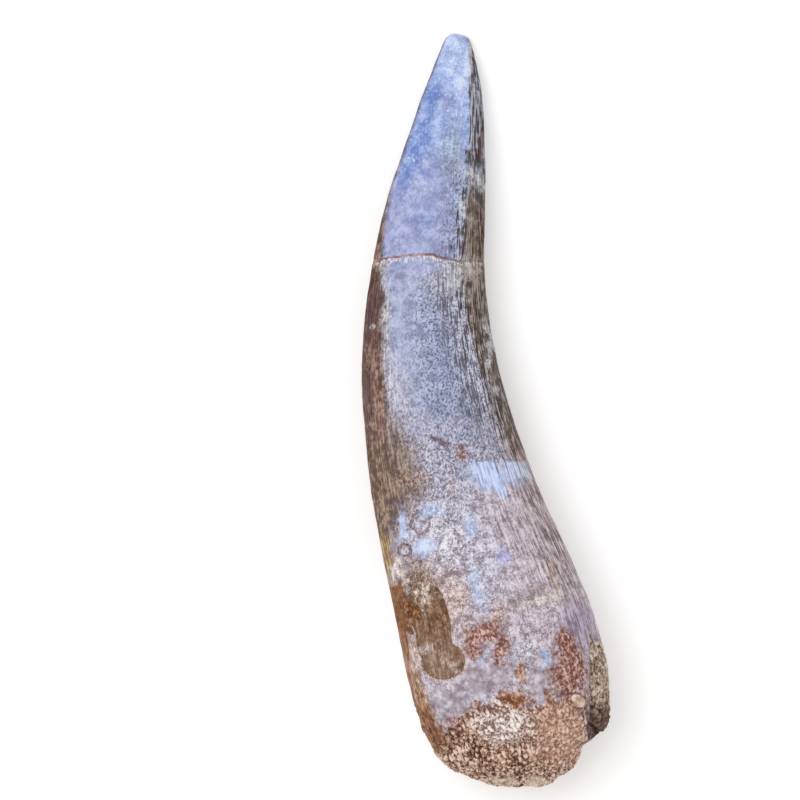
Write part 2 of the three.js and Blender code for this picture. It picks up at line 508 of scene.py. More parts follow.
class Finish:
    """A material and the nodes that paint it."""

    def __init__(self, name):
        self.material = bpy.data.materials.new(name)
        self.material.use_nodes = True
        self.tree = self.material.node_tree
        self.surface = self.tree.nodes["Principled BSDF"]

    def node(self, kind, settings, inputs, output=0):
        """Adds a node, sets it, feeds its sockets and gives one of its outputs."""
        node = self.tree.nodes.new(kind)
        for name, value in settings.items():
            setattr(node, name, value)
        for key, value in inputs.items():
            self.feed(node.inputs[key], value)
        return Value(self, node.outputs[output])

    def feed(self, socket, value):
        if isinstance(value, Value):
            self.tree.links.new(value.socket, socket)
        else:
            socket.default_value = value

    def noise(self, coords, size, detail=2.0, roughness=0.55, distortion=0.0, output="Fac"):
        inputs = {
            "Vector": coords,
            "Scale": 1 / size,
            "Detail": detail,
            "Roughness": roughness,
            "Distortion": distortion,
        }
        return self.node("ShaderNodeTexNoise", {}, inputs, output)

    def fade(self, value, low, high, way="SMOOTHSTEP"):
        """0 at low, 1 at high and a rise between; low may be the greater."""
        settings = {"interpolation_type": way, "clamp": False}
        inputs = {"Value": value, "From Min": low, "From Max": high}
        return self.node("ShaderNodeMapRange", settings, inputs)

    def blend(self, under, over, share):
        settings = {"data_type": "RGBA", "clamp_factor": True}
        return self.node("ShaderNodeMix", settings, {0: share, 6: under, 7: over}, 2)

    def split(self, vector, kind="ShaderNodeSeparateXYZ"):
        return [Value(self, output) for output in self.node(kind, {}, {0: vector}).socket.node.outputs]

    def bend(self, coords, size, reach):
        """The coordinates pushed about by a noise, so that outlines drawn on them come out irregular."""
        pattern = self.noise(coords, size, output="Color")
        red, green, _ = self.split(pattern, "ShaderNodeSeparateColor")
        push = {"X": (red - 0.5) * (reach * 4), "Y": (green - 0.5) * (reach * 4)}
        pushed = {0: coords, 1: self.node("ShaderNodeCombineXYZ", {}, push)}
        return self.node("ShaderNodeVectorMath", {"operation": "ADD"}, pushed)

    def stretch(self, coords, scale):
        return self.node("ShaderNodeMapping", {}, {"Vector": coords, "Scale": scale})

    def ball(self, coords, middle, radii, lean):
        """1 at an oval ball's middle, falling to 0 on its surface."""
        turn = (0, 0, math.radians(lean))
        inputs = {"Vector": coords, "Location": middle, "Rotation": turn, "Scale": radii}
        placed = self.node("ShaderNodeMapping", {"vector_type": "TEXTURE"}, inputs)
        settings = {"gradient_type": "SPHERICAL"}
        return self.node("ShaderNodeTexGradient", settings, {"Vector": placed}, "Fac")


# Finishes of the surface: what each is, and its dark, middle and light tones
TONES = ("dark", "middle", "light")
TONE_SPREAD = 0.1
LINE_SPREAD = 0.07
FINISHES = {
    # The blue of the enamel tones above the break is partly the fossil's own blue patina and partly painted
    # sky sheen.
    "tip": ("Worn tip", "9AA9CE", "B8C8F0", "DAE5FC"),
    "enamel": ("Blue enamel", "7E92CC", "99ACDA", "B6C8F2"),
    "deep_enamel": ("Deep blue enamel", "5A72BA", "6E86C4", "90A6DA"),
    "lilac_enamel": ("Lilac enamel", "868CB2", "9DA4CC", "B8BDE0"),
    "green_enamel": ("Grey-green enamel beside the keel", "8390A8", "A5B1CC", "C2CCE0"),
    "grey_enamel": ("Grey-blue enamel below the break", "828AA8", "A4ABCA", "BAC1DD"),
    "pale_enamel": ("Pale enamel beside edge and break", "8E8996", "B7B4C5", "D8D6E4"),
    "speck": ("Dark specks", "44445A", "58586F", "707088"),
    # The light tones of the grey lines and of the flanks stand partly for painted highlights on the ridges.
    "striae": ("Grey lines beside the hollow flank", "5A5662", "9896A6", "D2D1DF"),
    "pepper": ("Salt-and-pepper enamel", "6C6674", "A39FB2", "CFCDDF"),
    "flank_upper": ("Hollow flank above the break", "423D3D", "77737C", "BABBCA"),
    "flank": ("Brown flank", "392B24", "63534A", "A6968C"),
    "flank_low": ("Lower flank", "4E3B2F", "7A6254", "B8A297"),
    "strip_red": ("Reddish bowed edge", "381A15", "502B25", "765249"),
    "strip": ("Bowed edge", "4E352B", "7C594C", "A8897C"),
    "strip_low": ("Lower bowed edge", "4C3424", "735643", "A88C7A"),
    "golden": ("Golden bowed edge", "6E4E24", "9C794A", "C8B288"),
    "scuff": ("Whitish scuffs", "8C898A", "BCBBC0", "E0E0E6"),
    "sky": ("Sky-blue patch", "A8B5DC", "C6D5F8", "DAE6FF"),
    "chalk": ("Lilac chalk", "897D8B", "BAB3C3", "E4E1EE"),
    "chalk_white": ("White chalk", "7E727A", "BDB7C3", "EFECF3"),
    "chalk_brown": ("Brown chalk", "5A4030", "886B59", "C8B1A2"),
    "chalk_pink": ("Pink chalk", "8A757C", "BBACB6", "E2D8E1"),
    # The mauve edge is partly the chalk's own colour and partly painted shade.
    "chalk_mauve_and_shade": ("Mauve edge of the chalk", "543F3C", "998483", "CFC2C8"),
    "chalk_rose": ("Rosy chalk", "866A60", "BCA198", "E8D9D4"),
    "flake": ("Scar of the flake", "54351F", "78563E", "A8876E"),
    "flake_low": ("Lower part of the scar", "664834", "866854", "B09484"),
    "flake_streak": ("Pale streaks in the scar", "8A7163", "B09A8E", "D6C3B8"),
    "flake_curl": ("White curls in the scar", "644430", "A28C7E", "F2E8E0"),
    "amber": ("Amber stain", "4E2804", "78440A", "966220"),
    "amber_brown": ("Flecked amber stain", "50280A", "724218", "B08054"),
    "pale_rim": ("Pale bowed rim", "8E6C56", "C0A494", "E6D6CC"),
    "brown_rim": ("Orange-brown bowed rim", "583014", "86532E", "B8865A"),
    "lilac": ("Lilac band", "8A7C86", "B2A7B2", "D8D2DC"),
    "rust": ("Rust grains", "663628", "A26F5E", "DBB8AB"),
    "ochre": ("Ochre grains", "6E3A1A", "9E6842", "CFA890"),
    "purple": ("Purple of the hollow side", "7A6A7A", "A091A4", "C2B6C8"),
    "sand_white": ("White grains", "8E6C60", "F0DDD6", "FFFCF8"),
    "sand": ("Brown grains", "4E2D1C", "B48D75", "F0D5C5"),
    "sand_smooth": ("Worn grains", "9C7460", "DAB09A", "EED4C6"),
    "ledge": ("Sandy ledge", "62493A", "BCA28E", "E6D2C4"),
    # The crevice's dark tones are partly dirt and partly painted shade.
    "crevice": ("Crevice", "2A1508", "503525", "7C6150"),
    "blue_spot": ("Pale blue spots", "98A6CC", "B6C4E4", "D6E1F8"),
    "violet_spot": ("Violet spot", "A09CC8", "BEBAE6", "D6D2F6"),
    "cream": ("Cream edge", "B09C90", "DCCFC8", "F6EEE8"),
    "chip": ("Pale chip", "B49A86", "E0C8B4", "F4DFD0"),
    "crack": ("Glue line", "6A3E33", "8C6152", "B08C7E"),
    "ring": ("Ring scars", "4C3832", "6C544C", "927A70"),
}

# A finish that covers ovals: its name, the noise that its tones follow, how soft its edge is, its strength
Layer = namedtuple("Layer", "finish noise ovals soft strength", defaults=(0.5, 0.9))
LAYER_DEPTH = 3.0
LAYER_DEPTH_OF_SIZE = 1.2
LAYER_EDGE_SHADE = 0.04

# How many times an oval's size its distances are measured to
OVAL_REACH = 3

# Layers of the upper face, whose blue is partly the fossil's patina and partly painted sky sheen.
FACE_LAYERS = (
    Layer("lilac_enamel", "satin", (Oval(-4.1, 19.9, 1.4, 1.2), Oval(-3.2, 24.6, 0.6, 1.0)), 1.2, 0.7),
    Layer(
        "deep_enamel",
        "satin",
        (Oval(-4.2, 24.6, 0.5, 1.6, -12), Oval(-5.6, 20.7, 0.85, 2.8, -17)),
        1.1,
        0.9,
    ),
    Layer("deep_enamel", "satin", (Oval(-6.5, 18.2, 0.5, 1.8, -17), Oval(-4.9, 15.2, 1.0, 1.2)), 1.2, 0.4),
    Layer(
        "green_enamel",
        "dashes",
        (Oval(-2.5, 21.0, 0.75, 2.4, -6), Oval(-1.9, 15.6, 0.6, 2.2)),
        1.2,
        0.8,
    ),
    Layer("tip", "satin", (Oval(-2.3, 28.9, 1.4, 2.6), Oval(-1.9, 25.9, 0.6, 1.6)), 1.2, 0.9),
    Layer("pale_enamel", "dashes", (Oval(-3.0, 10.0, 1.5, 1.8, 20),), 1.1, 0.9),
    Layer("pale_enamel", "dashes", (Oval(-7.2, 0.4, 1.3, 3.8, 2),), 1.2, 0.7),
    Layer("striae", "curled", (Oval(-2.7, 18.9, 0.7, 1.2, -10),), 1.5, 0.6),
)
FLANK_LAYERS = (
    Layer("strip_red", "lines", (Oval(-0.35, 14.0, 0.28, 1.6, 4), Oval(-0.35, 21.2, 0.22, 1.8)), 1.2, 0.75),
    Layer("strip_red", "lines", (Oval(-8.95, 8.0, 0.95, 3.6, -4), Oval(-9.4, 1.4, 0.45, 2.2)), 1.1, 0.95),
    Layer("scuff", "dashes", (Oval(-1.2, 18.4, 0.4, 0.6), Oval(-0.4, 18.2, 0.4, 0.5)), 1.4, 0.8),
    Layer("scuff", "dashes", (Oval(-1.6, 15.9, 0.3, 0.7), Oval(-9.1, 6.7, 0.16, 0.3)), 1.3, 0.8),
    Layer("cream", "curled", (Oval(-1.2, 11.3, 1.0, 0.7), Oval(-8.6, 11.5, 0.4, 0.3)), 2.0, 0.45),
    Layer("scuff", "dashes", (Oval(0.35, 5.7, 0.3, 1.4, 8), Oval(0.0, 3.9, 0.25, 0.5)), 0.9, 0.85),
    Layer("scuff", "dashes", (Oval(1.0, 1.6, 0.2, 0.35), Oval(-8.0, 7.6, 0.18, 2.6, -3)), 1.3, 0.7),
    Layer("scuff", "dashes", (Oval(-2.4, 10.5, 0.9, 1.2, 15),), 1.5, 0.55),
    Layer("strip_low", "lines", (Oval(-6.9, -4.6, 1.5, 3.2, 6),), 1.1, 0.75),
    Layer(
        "chalk_brown",
        "curled",
        (Oval(-5.9, -5.6, 1.4, 0.9, -25), Oval(-1.4, -5.5, 0.7, 0.5, 30)),
        1.4,
        0.75,
    ),
    Layer("strip_red", "curled", (Oval(-3.6, -2.5, 0.9, 0.3, -15),), 1.3, 0.8),
    Layer("chalk_rose", "curled", (Oval(-2.8, -6.1, 0.35, 0.5),), 1.0, 0.85),
    Layer("rust", "rusted", (Oval(-1.9, -3.4, 0.4, 0.42),), 1.3, 0.8),
)
CHALK_LAYERS = (
    Layer("chalk_white", "curled", (Oval(-3.3, -10.4, 1.4, 3.0, 12), Oval(-3.5, -7.8, 1.2, 0.8)), 1.1),
    Layer("chalk_rose", "curled", (Oval(-2.6, -15.1, 1.3, 2.1, 12), Oval(0.9, -16.4, 1.0, 0.9)), 1.2, 0.8),
    Layer("chalk_brown", "curled", (Oval(-6.2, -5.8, 1.7, 2.2), Oval(-5.4, -13.2, 1.6, 1.4, 8)), 1.1),
    Layer("chalk_brown", "lines", (Oval(5.3, -13.2, 0.4, 1.4, 15),), 1.3, 0.7),
    Layer("chalk_brown", "curled", (Oval(2.9, -15.0, 1.3, 0.6, 10),), 2.0, 0.45),
    Layer("cream", "curled", (Oval(5.3, -15.0, 2.6, 0.4, 12),), 1.6, 0.55),
    Layer("chalk_white", "curled", (Oval(3.0, -19.0, 0.9, 1.2), Oval(-1.2, -12.3, 0.8, 1.2)), 1.2, 0.8),
    Layer("purple", "lines", (Oval(7.5, -17.0, 1.6, 2.2, 15),), 1.1, 0.9),
)
SPOT_LAYERS = (
    Layer("blue_spot", "satin", (Oval(-6.65, -9.3, 0.5, 1.4, 8), Oval(-5.0, -10.95, 0.75, 0.8)), 0.6, 0.9),
    Layer("blue_spot", "curled", (Oval(-1.2, -9.2, 0.6, 1.0, 20), Oval(-4.2, -7.9, 0.8, 0.5)), 1.0, 0.8),
    Layer("blue_spot", "curled", (Oval(-1.3, -4.9, 0.9, 0.7),), 1.3, 0.5),
    Layer("violet_spot", "curled", (Oval(1.2, -11.5, 0.4, 0.95, 30),), 1.0, 0.75),
    Layer("blue_spot", "curled", (Oval(-0.6, -14.3, 0.5, 1.5, 12),), 1.1, 0.65),
)
ROOT_LAYERS = (
    Layer("lilac", "haze", (Oval(0.1, -21.2, 2.4, 1.2, 22), Oval(-3.0, -23.2, 1.8, 0.95, 18)), 0.9, 0.95),
    Layer("lilac", "haze", (Oval(4.3, -21.8, 0.7, 1.8), Oval(-3.5, -25.2, 0.75, 1.2, 20)), 0.9, 0.85),
    Layer("blue_spot", "satin", (Oval(4.8, -19.9, 0.4, 0.8, 10), Oval(-0.35, -19.7, 0.35, 0.8)), 1.0, 0.75),
    Layer("rust", "rusted", RUST_ARCH, 1.2, 0.95),
    Layer("rust", "rusted", (*BIG_RUST, Oval(7.1, -23.3, 1.2, 1.2)), 1.1, 0.95),
    Layer("ochre", "rusted", (Oval(3.0, -21.0, 0.42, 0.9), Oval(1.4, -22.6, 0.3, 0.45)), 0.9, 0.85),
    Layer("ochre", "rusted", (Oval(5.0, -22.9, 0.4, 0.8),), 0.8, 0.95),
)
RIM_LAYERS = (
    Layer(
        "flake_curl",
        "curled",
        (Oval(-4.95, -14.7, 0.55, 1.4, 10), Oval(-6.3, -14.0, 0.4, 0.7)),
        1.3,
        0.75,
    ),
    Layer("golden", "lines", (Oval(-7.95, -11.8, 0.55, 2.1, 9),), 0.7, 0.9),
    Layer("cream", "curled", (Oval(-7.0, -12.7, 0.22, 1.0, 10),), 0.9, 0.85),
    Layer(
        "brown_rim",
        "lines",
        (Oval(-6.6, -18.8, 0.6, 2.4, 11), Oval(-5.9, -21.6, 0.8, 2.2, 14)),
        0.8,
        0.95,
    ),
    Layer(
        "brown_rim",
        "lines",
        (Oval(-5.0, -24.2, 0.8, 2.0, 20), Oval(-3.9, -26.3, 0.9, 1.6, 32)),
        0.7,
        0.95,
    ),
    Layer(
        "pale_rim",
        "dashes",
        (Oval(-5.65, -19.3, 0.36, 1.7, 14), Oval(-5.2, -22.3, 0.3, 1.2, 16)),
        0.9,
        0.85,
    ),
    Layer("amber_brown", "rusted", (Oval(-6.15, -16.3, 0.85, 1.35, 12),), 0.35, 0.95),
    Layer("amber", "satin", (Oval(-7.2, -14.9, 0.62, 1.2, 9), Oval(-6.95, -16.6, 0.4, 1.4, 10)), 0.3, 0.95),
)
END_LAYERS = (
    Layer("sand_white", "grains", (Oval(1.5, -24.8, 2.4, 1.6, -5),), 1.0, 0.95),
    Layer("sand_smooth", "rusted", (Oval(6.0, -25.9, 2.2, 2.6),), 0.9, 0.95),
    Layer("chip", "mottle", (Oval(1.6, -29.6, 0.9, 0.5), Oval(4.2, -29.6, 0.9, 0.45)), 0.7, 0.9),
)
FRINGE_LAYERS = (
    Layer("rust", "rusted", (Oval(-2.7, -24.9, 0.9, 0.6, 30), Oval(-0.6, -23.5, 0.9, 0.3, -8)), 1.4, 0.7),
    Layer("ochre", "rusted", (Oval(2.4, -23.1, 1.1, 0.85, -10),), 0.8, 0.95),
)
SKY_PATCH = (
    Oval(0.3, -4.9, 1.25, 1.5, 32),
    Oval(1.0, -5.9, 0.6, 1.4, 28),
    Oval(2.4, -4.7, 1.3, 1.3, 25),
)
SKY_TOP = -4.15 * MM
SAND = (Oval(1.3, -27.9, 5.0, 4.9), Oval(5.2, -27.2, 3.4, 4.2))
FLAKE_STREAKS = (Oval(-4.7, -19.1, 0.7, 0.26, -8), Oval(-2.85, -20.2, 1.1, 0.24, -34))
FLAKE_TOP = (-12.4 * MM, -15.0 * MM)
FLAKE_LOW = (-17 * MM, -19 * MM)
LEDGE_DIRT_AND_SHADE = (-22.4 * MM, -24.4 * MM)

# Sizes of the finish's noises
LINE_SIZE = 0.15 * MM
SPECK_SIZE = 0.17 * MM
CURL_SIZE = 0.21 * MM
GRIT_SIZE = 0.34 * MM
MOTTLE_SIZE = 0.7 * MM
CLOUD_SIZE = 1.6 * MM
DARK_POINT_SIZE = 0.15 * MM
GLINT_SPECK_SIZE = 0.2 * MM

# Lines along the tooth, as if wound on these girths: a narrow one near the tip and a wide one elsewhere
LINE_GIRTHS = (2.8 * MM, 6 * MM)
LINE_STRETCH = 0.1
LINES_CROWD = (7 * MM, 17 * MM)

# Bends that make the layers' outlines irregular: size and reach
SIDE_BEND = (3 * MM, 0.9 * MM)
BROAD_BEND = (1.5 * MM, 0.5 * MM)
FINE_BEND = (0.4 * MM, 0.16 * MM)

# Where the flanks begin across the tooth, from -1 at the bowed outline to 1 at the hollow one
HOLLOW_FROM = 0.56
STRIP_FROM = -1.03
STRIP_LEAST = -0.965

# How far finishes wander along the tooth
FACE_WANDER = 9 * MM
CHALK_WANDER = 6 * MM
CHALK_LEAN = 3 * MM

# Where things change along the tooth, as distances from the tip between which they come in,
# or go out where the first is the greater
BORDERS_FRAY = (5 * MM, 16 * MM)
TIP_OPENS = (4.5 * MM, 0.3 * MM)
FACE_WIDENS = (18 * MM, 30 * MM)
STRIP_WIDENS = (6 * MM, 32 * MM)
STRIP_NARROWS = (37.5 * MM, 42 * MM)
BORDER_BLURS = (28 * MM, 34 * MM)
HOLLOW_BORDER_BLURS = (20 * MM, 32 * MM)
KEEL_CREAM = (5 * MM, 2 * MM)
LILAC_ENAMEL = (8.5 * MM, 13.5 * MM)
GREY_ENAMEL = (17.8 * MM, 20 * MM)
PALE_BORDER = (17.6 * MM, 18.4 * MM)
SPECKS_AND_GLINTS = (20 * MM, 8 * MM)
STRIAE = (12 * MM, 24 * MM)
STRIAE_THIN = (29 * MM, 34 * MM)
DARK_POINTS = (18 * MM, 22 * MM)
DARK_POINTS_BY_KEEL = (9 * MM, 12 * MM)
PEPPER = (29 * MM, 34 * MM)
PEPPER_LEAN = 2 * MM
BROWN_FLANK = (10.5 * MM, 15 * MM)
SHADED_OUTLINE = (18 * MM, 26 * MM)
LOW_FLANK = (29 * MM, 34 * MM)
LOW_STRIP = (30 * MM, 35 * MM)
CHALK = (35 * MM, 38.5 * MM)
CHALK_OFF_STRIP = (46 * MM, 41 * MM)
MAUVE_AND_SHADE = (47 * MM, 41 * MM)
PINK_CHALK = (43 * MM, 47 * MM)
SAND_BELOW = (53 * MM, 55 * MM)
SAND_END = (57 * MM, 58 * MM)

BUMP_HEIGHT = 0.05 * MM
TOOTH_SPECULAR = 0.35
ENAMEL_ROUGHNESS = 0.42
CHALK_ROUGHER = 0.25
FLANKS_ROUGHER = 0.08
SAND_ROUGHNESS = 0.85


class ToothFinish(Finish):
    """The fossil's surface: blue enamel, ridged brown flanks, a chalky lower crown and a sandy root."""

    def __init__(self, form, shape, colours):
        super().__init__("fossil_tooth")
        self.form = form
        self.shape = shape
        self.colours = colours
        self.coords = self.node("ShaderNodeTexCoord", {}, {}, "Object")
        self.flow = self.node("ShaderNodeAttribute", {"attribute_name": "flow"}, {}, "Vector")
        self.across, self.up, self.along = self.split(self.flow)
        self.x, self.y, _ = self.split(self.coords)
        turned_down = self.fade(self.up, 0.3, -0.2)
        side_size, side_reach = SIDE_BEND
        sides = self.bend(self.coords, side_size, turned_down * side_reach)
        self.bent = self.bend(self.bend(sides, *BROAD_BEND), *FINE_BEND)
        self.streaks = self.lengthwise()
        self.specks = self.noise(self.stretch(self.coords, (1, 0.7, 1)), SPECK_SIZE, 1.5, 0.6, 0.4)
        self.curls = self.noise(self.stretch(self.coords, (1, 0.85, 1)), CURL_SIZE, 3, 0.65, 1.3)
        self.grit = self.noise(self.coords, GRIT_SIZE, 3, 0.65)
        self.mottle = self.noise(self.coords, MOTTLE_SIZE, 3, 0.6)
        self.clouds = self.noise(self.coords, CLOUD_SIZE, 3, 0.6)
        sand = self.node("ShaderNodeAttribute", {"attribute_name": "grain"}, {}, "Fac")
        self.haze = self.mingle((self.mottle, 0.6), (self.clouds, 0.4))
        self.satin = self.mingle((self.mottle, 0.5), (self.specks, 0.35), (self.clouds, 0.3))
        self.lines = self.mingle((self.streaks, 0.85), (self.mottle, 0.3), (self.specks, 0.15))
        self.dashes = self.mingle((self.streaks, 0.4), (self.specks, 0.6), (self.mottle, 0.3))
        self.curled = self.mingle((self.curls, 0.75), (self.mottle, 0.5), (self.specks, 0.2))
        self.rusted = self.mingle((self.grit, 0.6), (self.specks, 0.5), (sand, 0.25))
        sands = self.mingle((sand, 0.35), (self.grit, 0.55), (self.specks, 0.6), (self.clouds, 0.3))
        self.grains = sands + 0.01
        self.right = self.hollow_border()
        self.left = self.bowed_border()

    def lengthwise(self):
        """Fine wavy lines along the tooth, with fewer of them around the narrow tip."""
        lines = []
        for girth in LINE_GIRTHS:
            drawn_out = self.stretch(self.flow, (girth, girth, LINE_STRETCH))
            lines.append(self.noise(drawn_out, LINE_SIZE, distortion=0.4))
        near_tip, elsewhere = lines
        return near_tip + (elsewhere - near_tip) * self.fade(self.along, *LINES_CROWD)

    def hollow_border(self):
        """Where the hollow flank begins across the tooth, frayed along its lines."""
        ragged = self.mingle((self.streaks, 0.8), (self.mottle, 0.4)) - 0.5
        ragged = ragged * (0.35 + self.fade(self.along, *BORDERS_FRAY) * 0.65)
        border = HOLLOW_FROM + self.fade(self.along, *TIP_OPENS) * 0.5
        return border + self.fade(self.along, *FACE_WIDENS) * 0.18 + ragged

    def bowed_border(self):
        """Where the strip along the bowed edge ends across the tooth."""
        width = self.fade(self.along, *STRIP_WIDENS) * 0.4 - self.fade(self.along, *STRIP_NARROWS) * 0.2
        return (width + STRIP_FROM | STRIP_LEAST) + (self.curls - 0.5) * 0.25

    def mingle(self, *parts):
        """A sum of noises, each given with its weight, that centres on a half as they do."""
        total = 0.5
        for part, weight in parts:
            total = total + (part - 0.5) * weight
        return total

    def toned(self, value, finish, spread=TONE_SPREAD):
        """A finish's three tones, spread over a noise that centres on a half."""
        dark, middle, light = ((*getattr(self.colours, f"{finish}_{tone}"), 1.0) for tone in TONES)
        lower = self.blend(dark, middle, self.fade(value, 0.5 - spread, 0.5, "LINEAR"))
        return self.blend(lower, light, self.fade(value, 0.5, 0.5 + spread, "LINEAR"))

    def away(self, ovals, coords):
        """0 at the middle of the nearest of some ovals on the upper side, and 1 on its rim."""
        nearness = 0.0
        for oval in ovals:
            middle = self.form.top(oval.x * MM, oval.y * MM)
            depth = LAYER_DEPTH + LAYER_DEPTH_OF_SIZE * max(oval.wide, oval.long)
            radii = Vector((oval.wide, oval.long, depth)) * (MM * OVAL_REACH)
            nearness = nearness | self.ball(coords, middle, radii, oval.lean)
        return OVAL_REACH - nearness * OVAL_REACH

    def inside(self, ovals, soft):
        """1 inside the ovals and 0 outside, with an irregular and grainy edge."""
        broken = self.away(ovals, self.bent) + (self.grit - 0.5) * (0.3 + soft)
        return self.fade(broken, 1 + soft / 2, 1 - soft / 2)

    def covered(self, colour, layers):
        """A colour with layers of other finishes laid over it."""
        for layer in layers:
            share = self.inside(layer.ovals, layer.soft)
            shaded = getattr(self, layer.noise) + (share - 1) * LAYER_EDGE_SHADE
            colour = self.blend(colour, self.toned(shaded, layer.finish), share * layer.strength)
        return colour

    def points(self, size, low, high):
        """1 on scattered points, which are smaller the higher the limits."""
        return self.fade(self.noise(self.stretch(self.coords, (1, 0.8, 1)), size, 0), low, high)

    def face(self):
        """Blue enamel, partly blue patina and partly painted sky sheen; lilac towards the break, grey and
        speckled below it.
        """
        wandering = self.along + (self.clouds - 0.5) * FACE_WANDER
        colour = self.toned(self.satin, "enamel")
        lilac = self.toned(self.satin, "lilac_enamel")
        colour = self.blend(colour, lilac, self.fade(wandering, *LILAC_ENAMEL))
        grey = self.toned(self.satin, "grey_enamel")
        colour = self.blend(colour, grey, self.fade(self.along, *GREY_ENAMEL))
        colour = self.covered(colour, FACE_LAYERS)
        # Pale points on the upper face: partly white specks and partly painted glints.
        specks_and_glints = self.points(GLINT_SPECK_SIZE, 0.68, 0.76) * self.fade(wandering, *SPECKS_AND_GLINTS)
        colour = self.blend(colour, self.toned(self.clouds, "tip"), specks_and_glints * 0.8)
        border = self.fade(self.across - self.left, 0.2, 0.05) * self.fade(self.along, *PALE_BORDER)
        colour = self.blend(colour, self.toned(self.dashes, "pale_enamel"), border * 0.85)
        striae = self.fade(self.right - self.across, 0.5, 0.15) * self.fade(self.along, *STRIAE)
        striae = striae * (1 - self.fade(self.along, *STRIAE_THIN) * 0.5)
        colour = self.blend(colour, self.toned(self.lines, "striae", LINE_SPREAD), striae * 0.9)
        crowd = self.fade(self.across, -0.55, 0.0) * self.fade(wandering, *DARK_POINTS)
        by_keel = self.fade(self.across, -0.1, 0.4) * self.fade(wandering, *DARK_POINTS_BY_KEEL)
        crowd = crowd | by_keel * 0.8
        spotted = self.points(DARK_POINT_SIZE, 0.53, 0.62) * crowd * self.fade(self.mottle, 0.25, 0.45)
        colour = self.blend(colour, self.toned(self.specks, "speck"), spotted * 0.8)
        pepper = self.fade(wandering - self.across * PEPPER_LEAN, *PEPPER)
        salt = self.mingle((self.curls, 0.5), (self.specks, 0.6))
        return self.blend(colour, self.toned(salt, "pepper", 0.08), pepper)

    def flank(self, bowed):
        """Ridged sides: grey-brown above the break, brown below, reddish along the bowed edge, with painted
        shade towards the hollow outline.
        """
        # Painted shade: the hollow flank's tones darken towards its outline from the middle of the tooth
        # down.
        outline_shade = self.fade(self.across, 0.75, 1.0) * self.fade(self.along, *SHADED_OUTLINE)
        shaded = self.lines - outline_shade * 0.035
        hollow = self.toned(shaded, "flank_upper", LINE_SPREAD)
        brown = self.toned(shaded, "flank", LINE_SPREAD)
        hollow = self.blend(hollow, brown, self.fade(self.along, *BROWN_FLANK))
        low = self.toned(shaded, "flank_low", LINE_SPREAD)
        hollow = self.blend(hollow, low, self.fade(self.along, *LOW_FLANK))
        mottled = self.mingle((self.streaks, 0.45), (self.mottle, 0.8), (self.specks, 0.3))
        # Tones darken a little towards the bowed outline.
        mottled = mottled - self.fade(self.across, -0.88, -1.0) * 0.04
        edge = self.toned(mottled, "strip")
        edge = self.blend(edge, self.toned(mottled, "strip_low"), self.fade(self.along, *LOW_STRIP))
        return self.blend(hollow, edge, bowed)

    def chalk(self):
        """The lower crown: chalk with white and brown curls, pinker and lined on the hollow side."""
        colour = self.toned(self.curled, "chalk")
        lined = self.toned(self.mingle((self.streaks, 0.5), (self.curled, 0.7)), "chalk_pink")
        colour = self.blend(colour, lined, self.fade(self.across, 0.05, 0.5))
        # Mauve-brown towards the hollow outline, partly the chalk's own colour and partly painted shade.
        mauve_and_shade = self.fade(self.across, 0.55, 0.95) * self.fade(self.along, *MAUVE_AND_SHADE)
        colour = self.blend(colour, self.toned(self.lines, "chalk_mauve_and_shade"), mauve_and_shade * 0.8)
        pink = self.toned(self.curled, "chalk_pink")
        colour = self.blend(colour, pink, self.fade(self.along, *PINK_CHALK) * 0.7)
        return self.covered(colour, CHALK_LAYERS)

    def sky(self, colour):
        """A patch of sky-blue enamel with a straight top and dark lines."""
        level = self.y + (self.grit - 0.5) * (0.25 * MM)
        share = self.inside(SKY_PATCH, 0.9) * self.fade(level, SKY_TOP + 0.15 * MM, SKY_TOP - 0.1 * MM)
        dark_lines = self.fade(self.streaks, 0.4, 0.33)
        blue = self.toned(self.lines, "sky")
        blue = self.blend(blue, self.toned(self.specks, "speck"), dark_lines * 0.6)
        faint = 1 - self.fade(self.x, 1.6 * MM, 3 * MM) * 0.45
        return self.blend(colour, blue, share * faint * self.fade(self.up, -0.1, 0.3))

    def scar(self, colour):
        """The scar of the flake: mottled brown, with pale streaks, a dark edge and below it a pale rim that
        is a painted highlight on the scar's step.
        """
        away = self.away(FLAKE, self.coords) + (self.grit - 0.5) * 0.12
        opened = self.fade(self.y + (self.curls - 0.5) * (6 * MM), *FLAKE_TOP)
        mottled = self.mingle((self.streaks, 0.4), (self.mottle, 0.4), (self.specks, 0.3))
        brown = self.toned(mottled, "flake")
        brown = self.blend(brown, self.toned(mottled, "flake_low"), self.fade(self.y, *FLAKE_LOW))
        streaks = self.inside(FLAKE_STREAKS, 1.0) * 0.95
        brown = self.blend(brown, self.toned(self.dashes, "flake_streak"), streaks)
        brown = self.blend(brown, self.toned(self.specks, "ring"), self.fade(away, 0.9, 1.0) * 0.5)
        # Painted highlight: a pale rim where the scar's lower step catches the light.
        rim = self.fade(away, 1.18, 1.06) * opened
        colour = self.blend(colour, self.toned(self.dashes, "pale_rim"), rim * 0.6)
        return self.blend(colour, brown, self.fade(away, 1.03, 0.98) * opened)

    def ledge(self):
        """The sandy ledge, darker towards its low end and in the crevice, with dirt and painted shade."""
        colour = self.toned(self.grains, "ledge", 0.12)
        # Dirt and painted shade: the ledge darkens towards its low end, by the crevice.
        low = self.fade(self.y + (self.grit - 0.5) * (3 * MM), *LEDGE_DIRT_AND_SHADE)
        return self.blend(colour, self.toned(self.grains, "crevice", 0.16), low * 0.85)

